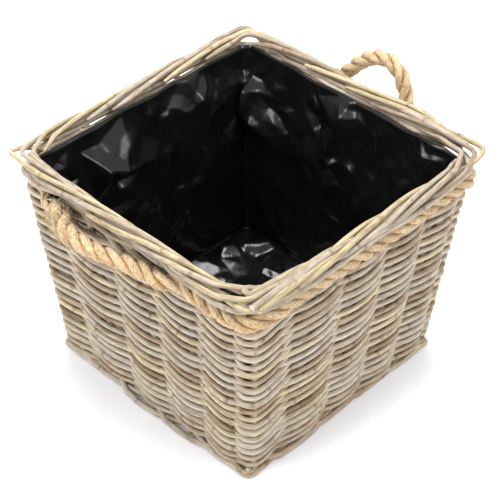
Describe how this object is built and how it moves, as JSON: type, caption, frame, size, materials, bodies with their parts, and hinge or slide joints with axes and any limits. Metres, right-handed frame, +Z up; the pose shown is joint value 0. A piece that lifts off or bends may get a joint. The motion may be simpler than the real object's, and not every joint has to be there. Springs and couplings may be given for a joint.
{
  "type": "wicker log basket",
  "caption": "Square tapered basket of woven rattan rods with a rolled border, a rope course with rope handles, and a black film liner.",
  "frame": {"origin": "on the floor under the middle of the basket", "axes": "+Z up, +X along the sides that carry the handles, -Y towards the front handle"},
  "size_m": [0.43, 0.4782, 0.3705],
  "materials": {
    "weaver_rattan": "matte grey-beige rattan rod, unpeeled",
    "stake_rattan": "matte grey-brown rattan rod",
    "border_rattan": "satin straw-coloured rattan rod",
    "rope": "hairy three-strand manila rope",
    "liner_film": "glossy creased black film"
  },
  "bodies": {
    "basket": {"stake_1_1": "stake_rattan", "stake_1_2": "stake_rattan", "stake_1_3": "stake_rattan", "stake_1_4": "stake_rattan", "stake_1_5": "stake_rattan", "weave_wall_1": "weaver_rattan", "top_course_1": "weaver_rattan", "border_outer_1": "border_rattan", "border_inner_1": "border_rattan", "border_top_1": "border_rattan", "foot_border_1": "weaver_rattan", "stake_2_1": "stake_rattan", "stake_2_2": "stake_rattan", "stake_2_3": "stake_rattan", "stake_2_4": "stake_rattan", "stake_2_5": "stake_rattan", "weave_wall_2": "weaver_rattan", "top_course_2": "weaver_rattan", "border_outer_2": "border_rattan", "border_inner_2": "border_rattan", "border_top_2": "border_rattan", "foot_border_2": "weaver_rattan", "stake_3_1": "stake_rattan", "stake_3_2": "stake_rattan", "stake_3_3": "stake_rattan", "stake_3_4": "stake_rattan", "stake_3_5": "stake_rattan", "weave_wall_3": "weaver_rattan", "top_course_3": "weaver_rattan", "border_outer_3": "border_rattan", "border_inner_3": "border_rattan", "border_top_3": "border_rattan", "foot_border_3": "weaver_rattan", "stake_4_1": "stake_rattan", "stake_4_2": "stake_rattan", "stake_4_3": "stake_rattan", "stake_4_4": "stake_rattan", "stake_4_5": "stake_rattan", "weave_wall_4": "weaver_rattan", "top_course_4": "weaver_rattan", "border_outer_4": "border_rattan", "border_inner_4": "border_rattan", "border_top_4": "border_rattan", "foot_border_4": "weaver_rattan", "base_stick_1": "stake_rattan", "base_stick_2": "stake_rattan", "base_stick_3": "stake_rattan", "base_stick_4": "stake_rattan", "base_stick_5": "stake_rattan", "base_weave": "weaver_rattan", "rope_front_left": "rope", "rope_front_right": "rope", "rope_right": "rope", "rope_back_right": "rope", "rope_back_left": "rope", "rope_left": "rope", "liner": "liner_film"},
    "front_handle": {"front_handle": "rope"},
    "back_handle": {"back_handle": "rope"}
  },
  "joints": [
    {"name": "front_handle_hinge", "type": "hinge", "parent": "basket", "child": "front_handle", "pos_m": [-0.03, -0.216, 0.284], "axis": [1, 0, 0], "range_deg": [-90, 50]},
    {"name": "back_handle_hinge", "type": "hinge", "parent": "basket", "child": "back_handle", "pos_m": [-0.01, 0.216, 0.284], "axis": [1, 0, 0], "range_deg": [-130, 0]}
  ]
}
